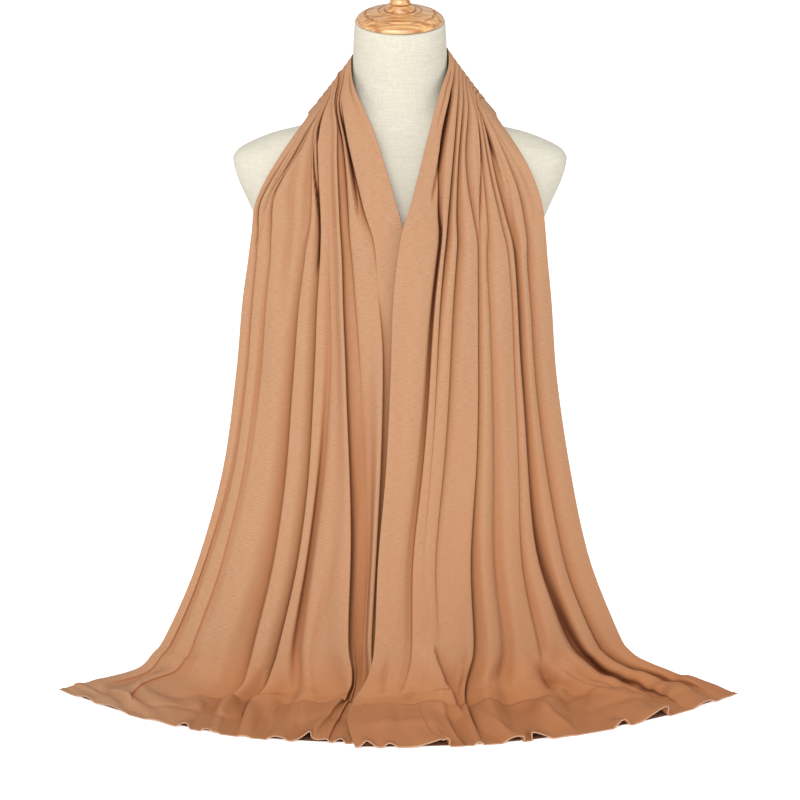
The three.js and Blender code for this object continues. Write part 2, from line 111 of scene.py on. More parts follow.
# Folds from the inner edge outwards. Edge is the place where a face of cloth ends, as a share of
# the row's width at EDGE_LEVELS. The rest is at DEPTH_LEVELS: how deep the cloth turns back, how
# far the valley lies under the face (below 0: open), both in millimetres, how deep the next face
# starts as a share of the depth (foot), and how sharply the face turns, from 0 to 1 (crisp).
EDGE_LEVELS = ["shoulder", "ridge", "collar", "yoke", "chest", "vee", "under", "hip", "bend",
               "hem"]
DEPTH_LEVELS = ["shoulder", "yoke", "vee", "waist", "low", "lay", "hem"]
LEFT_FOLDS = [
    dict(edge=[0.13, 0.175, 0.205, 0.215, 0.218, 0.19, 0.155, 0.125, 0.08, 0.08],
         depth=[2, 9, 4, -11, -9, -4, -3], lap=[2, 4, 4, 5, 5, 0, -4],
         foot=[0.6, 0.8, 0.6, 0.9, 0.9, 0.8, 0.8], crisp=[0.9, 1, 1, 1, 1, 0.4, 0]),
    dict(edge=[0.21, 0.215, 0.222, 0.255, 0.318, 0.335, 0.26, 0.15, 0.12, 0.13],
         depth=[2, 5, 3, 1.5, 1, 1, 1], lap=[2, 1, 0, -3, -6, -8, -8],
         foot=[0.6, 0.9, 0.7, 0.5, 0.5, 0.5, 0.5], crisp=[0.9, 1, 0.5, 0, 0, 0, 0]),
    dict(edge=[0.29, 0.262, 0.25, 0.325, 0.39, 0.405, 0.36, 0.245, 0.155, 0.2],
         depth=[-1, -6, -7, -9, -13, -6, -3], lap=[1, 3, 4, 5, 5, 0, -4],
         foot=[0.9, 0.85, 0.8, 0.8, 0.85, 0.9, 0.8], crisp=[0.9, 1, 1, 1, 1, 0.7, 0.2]),
    dict(edge=[0.38, 0.37, 0.36, 0.4, 0.455, 0.475, 0.43, 0.405, 0.33, 0.3],
         depth=[1.5, 0.5, 1.5, 6, 9, 9, 8], lap=[1, 0, 0, -6, -8, -12, -14],
         foot=[0.6, 0.6, 0.6, 0.8, 0.8, 0.8, 0.8], crisp=[0.8, 0.3, 0.1, 0, 0, 0, 0]),
    dict(edge=[0.47, 0.475, 0.47, 0.475, 0.52, 0.535, 0.54, 0.495, 0.485, 0.42],
         depth=[1.6, 7, 11, 12, 13, 11, 9], lap=[1, 4, 5, 5, 4, 0, -8],
         foot=[0.6, 0.7, 0.6, 0.7, 0.8, 0.8, 0.7], crisp=[0.5, 1, 1, 1, 0.9, 0.4, 0]),
    dict(edge=[0.56, 0.525, 0.515, 0.53, 0.585, 0.63, 0.66, 0.615, 0.565, 0.5],
         depth=[1.2, 6, 9, 13, 14, 11, 9], lap=[0, 2, 3, -2, -3, -8, -10],
         foot=[0.6, 0.6, 0.7, 0.85, 0.85, 0.8, 0.8], crisp=[0.2, 1, 1, 1, 0.9, 0.4, 0]),
    dict(edge=[0.68, 0.575, 0.6, 0.82, 0.86, 0.852, 0.85, 0.825, 0.755, 0.68],
         depth=[1, 5, 5, 3, 3.5, 6, 6], lap=[0, 1, 0, -5, -9, -16, -18],
         foot=[0.6, 0.7, 0.7, 0.8, 0.8, 0.8, 0.8], crisp=[0.1, 0.9, 0.4, 0, 0, 0, 0]),
    dict(edge=[0.82, 0.68, 0.82, 0.945, 0.955, 0.945, 0.935, 0.93, 0.9, 0.85],
         depth=[1, 4, 4, 3.5, 3.5, 3, 2.5], lap=[0, 1, 0, -3, -8, -10, -12],
         foot=[0.6, 0.7, 0.7, 0.7, 0.7, 0.7, 0.6], crisp=[0.1, 0.9, 0.4, 0.1, 0, 0, 0]),
]
RIGHT_FOLDS = [
    dict(edge=[0.13, 0.11, 0.1, 0.1, 0.185, 0.245, 0.19, 0.115, 0.11, 0.12],
         depth=[2, 8, 8, 5, 4, 1.5, 1], lap=[2, 2, -5, -9, -10, -12, -12],
         foot=[0.6, 0.95, 0.8, 0.85, 0.8, 0.8, 0.7], crisp=[0.9, 0.9, 0.2, 0, 0, 0, 0]),
    dict(edge=[0.21, 0.2, 0.19, 0.22, 0.27, 0.3, 0.265, 0.2, 0.17, 0.17],
         depth=[2, 7, 9, 2, 1, 1, 1], lap=[2, 3, 3, 0, -6, -8, -8],
         foot=[0.6, 0.7, 0.8, 0.5, 0.5, 0.5, 0.5], crisp=[0.9, 1, 1, 0.2, 0, 0, 0]),
    dict(edge=[0.29, 0.27, 0.25, 0.265, 0.33, 0.375, 0.345, 0.26, 0.23, 0.23],
         depth=[2, 7, 10, 6, 1.6, 2, 3], lap=[2, 3, 4, 2, -4, -8, -10],
         foot=[0.6, 0.7, 0.8, 0.7, 0.6, 0.6, 0.6], crisp=[0.9, 1, 1, 0.7, 0.1, 0, 0]),
    dict(edge=[0.38, 0.345, 0.315, 0.325, 0.45, 0.52, 0.52, 0.43, 0.365, 0.31],
         depth=[2, 8, 9, 10, 14, 13, 10], lap=[2, 3, 4, 5, 6, 0, -6],
         foot=[0.6, 0.6, 0.5, 0.6, 0.85, 0.9, 0.8], crisp=[0.9, 1, 1, 1, 1, 0.6, 0.1]),
    dict(edge=[0.47, 0.42, 0.43, 0.475, 0.555, 0.58, 0.59, 0.525, 0.45, 0.39],
         depth=[1.6, 5, 5, 6, 9, 11, 8], lap=[1, 1, -2, -5, -8, -14, -16],
         foot=[0.6, 0.7, 0.7, 0.7, 0.8, 0.8, 0.8], crisp=[0.5, 0.8, 0.2, 0, 0, 0, 0]),
    dict(edge=[0.56, 0.475, 0.475, 0.535, 0.665, 0.725, 0.74, 0.67, 0.61, 0.54],
         depth=[1.2, 6, 6, 6, 8, 11, 9], lap=[0, 2, 2, 1, -6, -14, -18],
         foot=[0.6, 0.6, 0.5, 0.5, 0.7, 0.8, 0.8], crisp=[0.2, 1, 1, 0.7, 0.1, 0, 0]),
    dict(edge=[0.68, 0.53, 0.52, 0.585, 0.72, 0.772, 0.785, 0.755, 0.83, 0.78],
         depth=[1, 9, 13, 14, 15, 13, 8], lap=[0, 4, 4, 0, -10, -16, -18],
         foot=[0.6, 0.8, 0.95, 0.95, 0.95, 0.9, 0.8], crisp=[0.1, 1, 1, 1, 0.7, 0.2, 0]),
    dict(edge=[0.82, 0.62, 0.66, 0.785, 0.85, 0.86, 0.868, 0.88, 0.93, 0.92],
         depth=[1, 6, 9, 10, 12, 10, 5], lap=[0, 2, 3, 2, -2, -8, -8],
         foot=[0.6, 0.7, 0.8, 0.8, 0.8, 0.8, 0.7], crisp=[0.1, 1, 0.8, 0.6, 0.3, 0, 0]),
]
CLOSEST_EDGES = 4.2            # the least width of a face, in millimetres
# The section of a fold: places on the face as shares of its width back from its edge, the
# depths of the turned cloth as shares of the fold's depth, and how much of the next face the
# foot takes up.
CROWN, SHOULDER, RISE = 0.5, 0.14, 0.07
CRISP_MARGIN, SOFT_MARGIN = 2.4, 0.1      # from the edge: millimetres, share of the face
TIP, RETURN, TURN, UNDER = 0.12, 0.36, 0.62, 0.2
SHOULDER_SAG = 0.25
FREE_EDGE_DEPTH, FREE_EDGE_SAG = 0.5, 6
MOST_LAP, MOST_MARGIN = 0.6, 0.3     # shares of the face that lies over them
MOST_MOUTH = 0.3               # share of the next face
LAP_MIDDLE, LAP_END = 0.5, 0.45      # where the cloth under a face goes and turns, in laps
MOUTH_MIDDLE, MOUTH_TURN, MOUTH_END = 0.5, 1.5, 1.6       # across an open valley, in mouths
LAP_DEPTH = 5                  # millimetres, the depth at which a lap is whole
# How far the inner edge is tucked in, over which share of the width.
TUCK_LEVELS = ["shoulder", "yoke", "vee", "waist", "low", "lay", "hem"]
LEFT_TUCK, RIGHT_TUCK, TUCK_SPAN = [0, 0, 3, 4.5, 4.5, 4.5, 4.5], [0] * 7, 0.2

# The torso, one row for each level from its underside to the rim of the neck.
TORSO = [
    # height, width, front, back, square, tilt
    [0, 154, 92, 96, 2.4, 0],
    [14, 163, 98, 102, 2.4, 0],
    [90, 167, 101, 107, 2.4, 0],
    [180, 148, 92, 97, 2.3, 0],
    [270, 121, 80, 84, 2.2, 0],
    [340, 122, 86, 86, 2.2, 0],
    [400, 134, 97, 94, 2.2, 0],
    [455, 146, 103, 100, 2.2, 0],
    [500, 154, 97, 103, 2.2, 0],
    [540, 168, 85, 104, 2.4, 0],
    [582, 187, 69, 98, 2.5, 0],
    [604, 193, 59, 92, 2.6, 0],
    [612, 191.5, 55, 89, 2.6, 0],
    [621, 182, 52, 86, 2.5, 0],
    [635, 150, 48, 80, 2.3, 0],
    [645, 112, 46, 75, 2.2, 0],
    [660, 76, 44, 68, 2, 0.08],
    [682, 59, 44, 61, 2, 0.24],
    [708, 54.8, 47, 56, 2, 0.48],
    [742, 53, 53, 50, 2, 0.86],
    [763.4, 51.6, 55, 47, 2, 1],
]
RING_STEPS = 5                 # rings between two levels of the torso
TORSO_COLUMNS = 144
NECK_RIM_HEIGHT, NECK_RIM_MIDDLE = 763.4, 4

# Turned profiles of the wood: radius and height above the rim of the neck.
CAP_PROFILE = [
    (0, 0.3), (49.4, 0.3), (50.5, 1), (50.4, 2.6), (49, 4.8), (45.8, 7.2), (42.4, 8.9),
    (41, 9.5), (40.4, 7.6), (39.6, 7), (38.9, 8), (38.4, 10.2), (37.4, 10.8), (35, 10.9),
    (31, 12), (26.6, 13.2), (25.6, 13.4), (25.1, 11.8), (24.5, 11.3), (23.9, 12.2), (23.4, 13.8),
    (20, 14.2), (18.4, 14), (17.6, 12.6), (16.8, 12.6), (17.3, 14.4), (16.9, 16.4), (15.2, 18.6),
    (13.4, 20.2), (12.2, 21), (0, 21),
]
FINIAL_PROFILE = [
    (0, 21.3), (11.2, 21.3), (12, 22.2), (12, 23.4), (10.8, 24.8), (9.2, 27), (8.2, 30.4),
    (9.6, 33.4), (14.6, 37.4), (18.4, 43.4), (19.4, 50), (17.6, 57), (12.8, 62.6), (6.4, 65.8),
    (0, 66.6),
]
WOOD_COLUMNS = 96
CORNER_CUT, CORNER_PASSES = 0.2, 2      # share of each side of a profile cut off at its corners

# Creases along the cloth: from and to which place of LEVELS, their places as shares of the width
# at the start, middle and end, how wide they are on their inner and outer sides, and how deep
# (below 0 they are ridges), in millimetres.
CREASES = {
    "left": [
        # from, to, shares, inner width, outer width, depth
        (0.6, 3.4, (0.045, 0.045, 0.04), 1.3, 1.3, 2.2),
        (1.0, 3.0, (0.56, 0.68, 0.86), 2.0, 3.0, 1.6),
        (1.2, 3.4, (0.58, 0.72, 0.9), 1.6, 2.6, 1.4),
        (1.3, 4.6, (0.66, 0.87, 0.975), 2.0, 3.4, 1.6),
        (2.4, 4.6, (0.53, 0.6, 0.68), 2.2, 4.0, 1.4),
        (1.8, 6.4, (0.62, 0.735, 0.75), 5, 6, 4.0),
        (6.5, 10.5, (0.22, 0.24, 0.2), 7, 7, 1.6),
        (8.5, 12.6, (0.32, 0.33, 0.27), 5, 6, 2.2),
        (9.0, 12.8, (0.69, 0.66, 0.61), 8, 8, 2.4),
        (10.2, 14.8, (0.86, 0.83, 0.76), 24, 13, -8.0),
        (10.4, 14.6, (0.93, 0.91, 0.87), 8, 12, 3.0),
        (10.5, 12.6, (0.53, 0.52, 0.5), 3, 9, 4.0),
        (10.4, 13.1, (0.11, 0.1, 0.1), 3, 9, 3.0),
        (12.9, 15.0, (0.3, 0.26, 0.21), 10, 4, -4.0),
        (12.8, 15.0, (0.62, 0.6, 0.57), 7, 9, -3.0),
    ],
    "right": [
        (0.6, 3.0, (0.05, 0.05, 0.05), 1.3, 1.3, 1.6),
        (1.3, 3.4, (0.5, 0.56, 0.7), 2.0, 3.0, 1.6),
        (1.4, 4.8, (0.54, 0.7, 0.82), 2.0, 3.4, 1.8),
        (1.2, 4.2, (0.62, 0.86, 0.93), 2.2, 3.6, 1.8),
        (2.2, 4.4, (0.41, 0.46, 0.55), 2.2, 3.0, 1.2),
        (6.0, 10.0, (0.08, 0.07, 0.05), 8, 8, 1.2),
        (8.0, 12.4, (0.47, 0.44, 0.39), 6, 6, 2.0),
        (10.0, 13.5, (0.222, 0.292, 0.312), 30, 2.6, -14.5),
        (10.3, 12.9, (0.055, 0.065, 0.085), 5, 3, 2.4),
        (10.0, 13.3, (0.62, 0.66, 0.715), 10, 5, 4.2),
        (10.2, 13.6, (0.67, 0.71, 0.77), 9, 6, -4.0),
        (10.6, 14.0, (0.75, 0.79, 0.83), 6, 5, 2.8),
        (10.4, 12.9, (0.36, 0.35, 0.335), 4, 7, 3.0),
        (12.9, 15.0, (0.34, 0.37, 0.41), 12, 6, -3.5),
        (13.0, 15.0, (0.52, 0.54, 0.565), 9, 6, -3.0),
    ],
}
# Creases across the cloth, where it breaks on the surface: from and to which share of the
# width, their places in LEVELS at the start, middle and end, how wide they are towards the
# shoulder and towards the hem, and how deep.
BREAKS = {
    "left": [
        # from, to, places, upper width, lower width, depth
        (-0.15, 0.4, (13.0, 12.95, 12.9), 7, 3, 5.0),
        (-0.15, 0.42, (12.6, 12.5, 12.5), 14, 6, -4.0),
        (0.33, 0.68, (12.6, 12.05, 12.4), 7, 4, 4.0),
        (0.62, 0.9, (12.7, 12.5, 11.8), 9, 6, 2.4),
        (0.02, 0.3, (14.1, 13.9, 14.2), 7, 10, 2.0),
        (0.42, 0.75, (14.0, 13.6, 13.9), 9, 9, 2.2),
    ],
    "right": [
        (-0.15, 0.31, (12.95, 12.9, 13.0), 7, 3, 5.5),
        (-0.15, 0.31, (12.55, 12.5, 12.6), 16, 6, -4.5),
        (0.29, 0.53, (13.0, 13.25, 13.0), 7, 3, 5.0),
        (0.29, 0.56, (12.7, 12.8, 12.6), 12, 6, -3.0),
        (0.47, 0.8, (13.0, 12.85, 12.9), 8, 4, 4.0),
        (0.76, 1.05, (12.8, 12.7, 12.5), 8, 4, 2.6),
        (0.02, 0.24, (14.2, 14.0, 14.1), 9, 9, -2.2),
        (0.5, 0.95, (14.1, 13.8, 14.1), 8, 10, 2.4),
    ],
}
# Where the hem curls up: share of the width, half widths on its inner and outer sides, how far
# the curl reaches up the cloth, and its height, in millimetres.
CURLS = {
    "left": [
        # share, inner, outer, reach, height
        (0.13, 4, 5, 16, 6), (0.235, 5, 9, 34, 13), (0.33, 12, 5, 40, 6),
        (0.45, 8, 8, 18, 3), (0.525, 6, 4, 22, 8), (0.585, 4, 6, 30, 9), (0.75, 9, 9, 16, 2),
        (0.9, 6, 8, 16, 3),
    ],
    "right": [
        (0.03, 4, 5, 20, 7), (0.085, 4, 5, 14, 5), (0.215, 13, 4, 34, 8), (0.315, 9, 9, 14, 2),
        (0.4, 13, 4, 30, 9), (0.455, 4, 9, 40, 13), (0.565, 9, 9, 14, 2), (0.67, 7, 6, 34, 13),
        (0.775, 12, 5, 34, 11), (0.9, 10, 8, 16, 2),
    ],
}
# How much earlier the cloth lands at each share of the width, in places of LEVELS.
LANDING = {
    "left": ([-0.2, 0.1, 0.3, 0.42, 0.5, 0.62, 0.72, 0.82, 1.1],
             [-0.3, -0.45, -0.1, -0.25, 0.6, 0.45, 0.9, 1.0, 1.1]),
    "right": ([-0.2, 0.05, 0.22, 0.3, 0.37, 0.5, 0.62, 0.72, 0.85, 1.1],
              [-0.1, -0.15, -0.1, 0.25, -0.5, -0.2, 0.3, 0.0, 0.5, 0.6]),
}
# Hollows, where the cloth drops away between two folds: as CREASES.
HOLLOWS = {
    "left": [
        (1.0, 2.5, (0.45, 0.455, 0.47), 1.5, 3.5, 6),
        (2.2, 5.4, (0.505, 0.527, 0.56), 2.2, 0.8, 6),
        (1.8, 4.2, (0.17, 0.222, 0.262), 0.8, 2.4, 5),
        (1.3, 2.9, (0.62, 0.7, 0.86), 2.0, 2.4, 3),
    ],
    "right": [
        (1.7, 4.0, (0.1, 0.115, 0.13), 0.9, 3.0, 6),
        (1.2, 2.6, (0.48, 0.52, 0.585), 1.2, 2.8, 6),
        (2.0, 4.6, (0.43, 0.475, 0.52), 0.8, 2.0, 3),
    ],
}
CREASE_TAPER = 0.6             # how bluntly a crease or a hollow ends
CREASE_START = 1.5             # the place in LEVELS from which they are whole
LANDING_SPAN = 8, 12, 12.6, 15       # places where LANDING starts, is whole, fades and ends
LEVEL_REACH = 0.05             # of a level, over which its length is measured
TORSO_REACH, TORSO_TOUCH = 2.2, 0.9      # where the cloth starts to yield to the form, and stops
TORSO_STEP, TORSO_PASSES = 0.5, 3
# Of the hem's curls: how much wider than their half widths, how round on top, how fast they
# fade up the cloth, and how far they lean.
CURL_ROUND, CURL_TOP, CURL_FADE, CURL_LEAN = 2.1, 0.7, 1.6, 1.5
COVER_STEPS, COVER_RISE = 64, 0.05   # columns each way that can hide the light, the least rise
SWELL_WAVES = 9
SWELL_LEAST_DROP, SWELL_SLANT = 0.25, 0.4
SWELL_REST, SWELL_EDGE = 0.7, 0.8    # how much calmer the outer edge is, and from which share
# Behind the neck the folds drift, deepen and swell unevenly, between these rows of the band.
BAND_DRIFT, BAND_UNEVEN, BAND_SWELL = 0.022, 0.55, 4
BAND_SPAN = 1.1, 2, 4, 4.9
SHADE_PATCH_STRIDE = 12               # columns between the corners of the outline of the covered floor's patch of painted shade
SEEDS = {"left": 4, "right": 5, "neck": 4}
SWELL_LEVELS = ["shoulder", "vee", "low", "bend", "lay", "hem"]
SWELLS = [
    # radians to a millimetre across, from and to; the most to a level down; heights
    (0.04, 0.14, 1.1, [0.2, 0.7, 1.0, 1.8, 2.0, 1.2]),
    (0.12, 0.26, 2.2, [0, 0.1, 0.2, 0.6, 0.6, 0.2]),
]

# Overlocked edge
HEM_RADIUS, SELVEDGE_RADIUS = 0.8 * MM, 0.5 * MM
CORD_STEP, CORD_SIDES, CORD_FLOOR = 1.1 * MM, 6, 0.05 * MM
STITCH_BULGE, CORD_WIDTH = 0.16, 1.25      # shares of the cord's radius

# Colours, linear. Pairs are the dark and the light of one texture.
JERSEY = (0.378, 0.2, 0.108), (0.462, 0.265, 0.158)
JERSEY_PATCH = (0.42, 0.215, 0.112)
# Painted shade, darker and redder low down and where the cloth lies on the surface.
JERSEY_LOW_SHADE, JERSEY_LYING_SHADE = (0.39, 0.175, 0.082), (0.42, 0.165, 0.062)
# Painted shade in the folds, where neighbouring cloth keeps the light off.
JERSEY_SHADE, JERSEY_DEEP_SHADE = (0.34, 0.13, 0.05), (0.07, 0.012, 0.003)
OVERLOCK = (0.36, 0.18, 0.10), (0.60, 0.35, 0.225)
SELVEDGE = (0.36, 0.18, 0.085), (0.47, 0.255, 0.14)
LINEN, LINEN_PATCH = ((0.52, 0.485, 0.40), (0.63, 0.595, 0.50)), (0.57, 0.53, 0.43)
WOOD_DARK, WOOD_LIGHT = (0.38, 0.14, 0.036), (0.70, 0.41, 0.165)
# The second floor colour is painted shade, dark warm brown, for the floor under the cloth.
FLOOR, FLOOR_SHADE = (0.9, 0.9, 0.9), (0.3, 0.16, 0.1)

# Studio
FLOOR_SIZE = 60                # metres each way
SHADE_PATCH_HEIGHT, SHADE_PATCH_INSET = 0.05 * MM, 7 * MM      # of the floor that the cloth covers, a dark patch of painted shade
SKY, FLOOR_GLOW = 0.56, 0.5
KEY, KEY_ELEVATION, KEY_AZIMUTH, KEY_SPREAD = 2.6, 36, -9, 45


def add_camera():
    data = bpy.data.cameras.new("camera")
    data.lens, data.sensor_width = LENS_MM, SENSOR_MM
    camera = bpy.data.objects.new("camera", data)
    camera.location = CAMERA_PLACE
    camera.rotation_euler = (math.pi / 2 - CAMERA_PITCH, 0, 0)
    bpy.context.collection.objects.link(camera)
    bpy.context.scene.camera = camera


def through(places, values, at):
    """Smooth curve through rows of values at rising places, for an array of places."""
    places, values = np.asarray(places, float), np.asarray(values, float)
    if values.ndim == 1:
        return through(places, values[:, None], at)[..., 0]
    at = np.asarray(at, float)
    k = np.searchsorted(places[1:-1], at, side="left")
    order = np.arange(len(places))
    lo, hi = np.maximum(order - 1, 0), np.minimum(order + 1, len(places) - 1)
    slope = (values[hi] - values[lo]) / (places[hi] - places[lo])[:, None]
    span = (places[k + 1] - places[k])[..., None]
    u = (at - places[k])[..., None] / span
    ease = 3 * u ** 2 - 2 * u ** 3
    return (values[k] + ease * (values[k + 1] - values[k])
            + span * (u ** 3 - 2 * u ** 2 + u) * slope[k] + span * (u ** 3 - u ** 2) * slope[k + 1])


def smoothstep(x, lo, hi):
    u = np.clip((x - lo) / (hi - lo), 0, 1)
    return u * u * (3 - 2 * u)


def unit(v):
    return v / np.maximum(np.linalg.norm(v, axis=-1, keepdims=True), 1e-12)


def places_of(names):
    return [LEVELS.index(name) for name in names]


def scarf_end(rows, nape_row, folds, tuck, side):
    """One end: its rows, with the band's nearest row before them, and its folds."""
    def folds_at(t):
        t = np.maximum(t, 0)
        values = [[through(places_of(EDGE_LEVELS), fold["edge"], t)]
                  + [through(places_of(DEPTH_LEVELS), fold[key], t)
                     for key in ("depth", "lap", "foot", "crisp")] for fold in folds]
        return values, through(places_of(TUCK_LEVELS), tuck, t)

    return {"places": list(range(-1, len(rows))), "rows": [nape_row] + rows, "side": side,
            "folds_at": folds_at}


def loosened(t):
    """How loosely the band lies at places t, 0 where it joins the ends of the scarf, up to 1."""
    rises, loose, falls, joined = BAND_SPAN
    return smoothstep(t, rises, loose) * (1 - smoothstep(t, falls, joined))


def neck_band():
    rows = [LEFT_ROWS[1], LEFT_ROWS[0]] + NAPE_ROWS + [RIGHT_ROWS[0], RIGHT_ROWS[1]]
    start, end = 1, len(rows) - 2

    def folds_at(t):
        across = np.clip((t - start) / (end - start), 0, 1)
        loose = loosened(t)
        values = []
        for i, (left, right) in enumerate(zip(LEFT_FOLDS, RIGHT_FOLDS)):
            edge, depth, *rest = [left[key][0] + (right[key][0] - left[key][0]) * across
                                  for key in ("edge", "depth", "lap", "foot", "crisp")]
            edge = edge + BAND_DRIFT * loose * np.sin(2.3 * i + 1.7 * t)
            depth = depth * (1 + BAND_UNEVEN * loose * np.sin(1.9 * i + 2.1 * t))
            values.append([edge, depth, *rest])
        return values, across * 0

    return {"places": list(range(len(rows))), "rows": rows, "side": 1, "folds_at": folds_at}


def front(stretch, q, t):
    """The smooth front at shares q of the width, in rows at places t (millimetres)."""
    row = through(stretch["places"], stretch["rows"], t)
    row = row if t.ndim == q.ndim else row[..., None, :]
    inner, outer, bow = row[..., 0:3], row[..., 3:6], row[..., 6]
    q = np.clip(q, 0, 1)
    share = np.stack([q, q ** bow, q], axis=-1)
    return inner + (outer - inner) * share


def inward_at(stretch, q, t):
    """The unit direction from the front towards the form or the surface below."""
    dq, dt = 0.01, 0.02
    first, last = stretch["places"][0], stretch["places"][-1]
    across = front(stretch, np.minimum(q + dq, 1), t) - front(stretch, np.maximum(q - dq, 0), t)
    along = (front(stretch, q, np.minimum(t + dt, last))
             - front(stretch, q, np.maximum(t - dt, first)))
    return unit(np.cross(across, along)) * stretch["side"]


def fold_points(stretch, t):
    """Control points of each row's folds: shares of the width and depths behind the front."""
    row = through(stretch["places"], stretch["rows"], t)
    width = np.linalg.norm(row[:, 3:6] - row[:, 0:3], axis=1)
    sag = row[:, 7]
    folds, tucked = stretch["folds_at"](t)
    same = np.ones_like(t)
    points = [(same * 0, same * FREE_EDGE_DEPTH)]
    last = same * 0
    edges = []
    for fold in folds:
        previous = edges[-1] if edges else same * 0
        edges.append(np.maximum(fold[0], previous + CLOSEST_EDGES / width))
    for i, (edge, (_, depth, lap, foot, crisp)) in enumerate(zip(edges, folds)):
        following = edges[i + 1] if i + 1 < len(folds) else same
        crisp = np.clip(crisp, 0, 1)
        face = edge - last
        under = np.minimum(np.maximum(lap, 0) / width, MOST_LAP * face)
        under = under * smoothstep(np.abs(depth), 0, LAP_DEPTH)
        mouth = np.minimum(np.maximum(-lap, 0) / width, MOST_MOUTH * (following - edge))
        margin = crisp * np.minimum(CRISP_MARGIN / width, MOST_MARGIN * face)
        margin += (1 - crisp) * SOFT_MARGIN * face
        lean = (1 - crisp) * TIP * depth
        points += [
            (edge - CROWN * face, depth * sag),
            (edge - SHOULDER * face - margin, depth * sag * SHOULDER_SAG),
            (edge - margin, lean),
            (edge, TIP * depth + lean),
            (edge - LAP_MIDDLE * under + MOUTH_MIDDLE * mouth, RETURN * depth + lean),
            (edge - under + mouth, (TURN + (1 - TURN) * foot) * depth),
            (edge - LAP_END * under + MOUTH_TURN * mouth, np.minimum(foot + UNDER, 1) * depth),
            (edge + MOUTH_END * mouth + RISE * (following - edge), foot * depth),
        ]
        last = edge
    points += [(1 - CROWN * (1 - last), FREE_EDGE_SAG / 2 * sag), (same, FREE_EDGE_SAG * sag)]
    points = np.array(points).transpose(2, 0, 1)
    points[..., 1] += tucked[:, None] * (1 - smoothstep(points[..., 0], 0, TUCK_SPAN))
    return points


def spline(points, steps):
    """Cubic B-spline pulled towards control points along axis 1, from end to end."""
    start, end = 2 * points[:, :1] - points[:, 1:2], 2 * points[:, -1:] - points[:, -2:-1]
    p = np.concatenate([start, points, end, end], axis=1)
    at = np.linspace(0, points.shape[1] - 1, (points.shape[1] - 1) * steps + 1)
    k = np.minimum(at.astype(int), points.shape[1] - 1)
    u = (at - k)[None, :, None]
    return ((1 - u) ** 3 * p[:, k] + (3 * u ** 3 - 6 * u ** 2 + 4) * p[:, k + 1]
            + (-3 * u ** 3 + 3 * u ** 2 + 3 * u + 1) * p[:, k + 2] + u ** 3 * p[:, k + 3]) / 6


def pressed(entries, along, across, length):
    """How deep creases press each point in. Along and across are coordinates of the points,
    and length is how many millimetres one unit across is."""
    depth = np.zeros_like(across)
    for start, end, places, before, after, deep in entries:
        share = np.clip((along - start) / (end - start), 0, 1)
        off = (across - through([0, 0.5, 1], places, share)) * length
        width = np.where(off < 0, before, after)
        depth += deep * np.sin(math.pi * share) ** CREASE_TAPER * np.exp(-(off / width) ** 2)
    return depth


def curled(entries, q, width, to_hem):
    """How far the hem's curls lift each point, and how far they lean over sideways, both in
    millimetres. The points are to_hem millimetres up from the hem."""
    lift, lean = np.zeros_like(q), np.zeros_like(q)
    for share, inner, outer, reach, height in entries:
        off = (q - share) * width[:, None]
        half = np.where(off < 0, inner, outer) * CURL_ROUND
        round_top = (0.5 + 0.5 * np.cos(math.pi * np.clip(off / half, -1, 1))) ** CURL_TOP
        rise = height * round_top * np.exp(-(to_hem / reach) ** CURL_FADE)
        lift += rise
        lean += CURL_LEAN * rise * (inner - outer) / (inner + outer)
    return lift, lean


def swells(seed, q, t, width):
    """Slow, uneven swells, longer down the cloth than across it, and short wrinkles where it
    lies on the surface, in millimetres."""
    random = np.random.default_rng(seed)
    across, down = q * width[:, None], t[:, None]
    total = np.zeros_like(q)
    for least, most, drop, height in SWELLS:
        for _ in range(SWELL_WAVES):
            wide, long = random.uniform(least, most), random.uniform(SWELL_LEAST_DROP, drop)
            slant = random.uniform(-SWELL_SLANT, SWELL_SLANT)
            phase = random.uniform(0, 2 * math.pi)
            wave = np.sin(wide * across + (long + slant * q) * down + phase)
            total += through(places_of(SWELL_LEVELS), height, t)[:, None] * wave
    return total / math.sqrt(SWELL_WAVES) * (1 - SWELL_REST * smoothstep(q, SWELL_EDGE, 1))


def beyond_torso(points):
    """How far points lie outside the torso, in millimetres, roughly."""
    height, width, ahead, behind, square, tilt = np.array(TORSO, float).T
    x, y, z = points[..., 0], points[..., 1], points[..., 2]
    level = z - y * np.tan(NECK_TILT * np.interp(z, height, tilt))
    at = lambda values: np.interp(level, height, values)
    middle, deep = at(behind - ahead) / 2, at(ahead + behind) / 2
    wide, power = at(width), at(square)
    share = (np.abs(x / wide) ** power + np.abs((y - middle) / deep) ** power) ** (1 / power)
    radius = np.hypot(x, y - middle) / np.maximum(share, 1e-6)
    return np.where(level < height[-1], (share - 1) * radius, TORSO_REACH * 2)


def off_torso(points):
    """Points in millimetres, eased off the torso where they come too near to it."""
    steps = TORSO_STEP * np.eye(3)
    for _ in range(TORSO_PASSES):
        away = beyond_torso(points)
        slope = np.stack([(beyond_torso(points + step) - beyond_torso(points - step))
                          / (2 * TORSO_STEP) for step in steps], axis=-1)
        steep = np.maximum(np.linalg.norm(slope, axis=-1), 1)
        away = away / steep
        near = TORSO_TOUCH + (TORSO_REACH - TORSO_TOUCH) * np.exp(
            (away - TORSO_REACH) / (TORSO_REACH - TORSO_TOUCH))
        move = np.where(away < TORSO_REACH, near - away, 0) / steep
        points = points + slope * move[..., None]
    return points


def covered(q, width, depth):
    """How much of the light its neighbours along the row keep from each point, 0 to 1."""
    across = q * width[:, None]
    columns = np.arange(q.shape[1])
    total = np.zeros_like(q)
    for way in (1, -1):
        steepest = np.zeros_like(q)
        for step in range(1, COVER_STEPS):
            near = np.clip(columns + way * step, 0, q.shape[1] - 1)
            rise, run = depth - depth[:, near], way * (across[:, near] - across)
            steepest = np.maximum(steepest, np.where(rise > COVER_RISE, np.arctan2(rise, run), 0))
        total += steepest
    return np.clip(total / math.pi, 0, 1)


